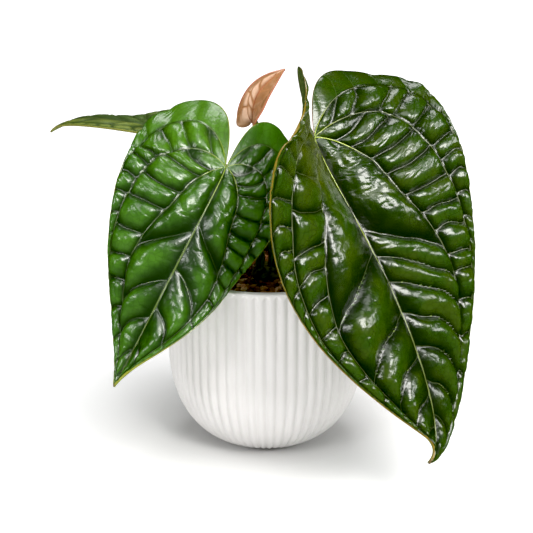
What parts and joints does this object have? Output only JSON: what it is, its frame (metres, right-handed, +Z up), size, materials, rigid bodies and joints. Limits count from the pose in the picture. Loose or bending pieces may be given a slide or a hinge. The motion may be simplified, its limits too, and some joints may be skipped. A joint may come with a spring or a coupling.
{
  "type": "potted anthurium hybrid",
  "caption": "Aroid houseplant with puckered heart-shaped leaves on stalks, rooted in bark mix in a thin nursery pot inside a ribbed white cover pot.",
  "frame": {"origin": "middle of the cover pot's flat foot, on the surface that it stands on", "axes": "+Z up, -Y towards the front, where the two large blades hang, +X to the right of the front view"},
  "size_m": [0.3013, 0.2587, 0.2855],
  "materials": {
    "pot": "matte white glaze on ceramic",
    "nursery_pot": "thin black polypropylene, satin",
    "potting_mix": "bark chips, peat and perlite, rough",
    "crown": "olive stem skin with dry brown sheaths",
    "stalk": "smooth green stalk skin, satin",
    "leaf_deep": "glossy deep green puckered blade with pale veins",
    "leaf_bright": "glossy bright green puckered blade with pale veins",
    "leaf_olive": "matte olive underside, satin green upper side",
    "leaf_copper": "soft copper new blade with pink margin"
  },
  "bodies": {
    "root": {"pot": "pot", "nursery_pot": "nursery_pot", "potting_mix": "potting_mix", "crown": "crown", "petiole_right": "stalk", "petiole_left": "stalk", "petiole_rear": "stalk", "petiole_new": "stalk", "leaf_right": "leaf_deep", "leaf_left": "leaf_bright", "leaf_rear": "leaf_olive", "leaf_new": "leaf_copper"}
  },
  "joints": []
}
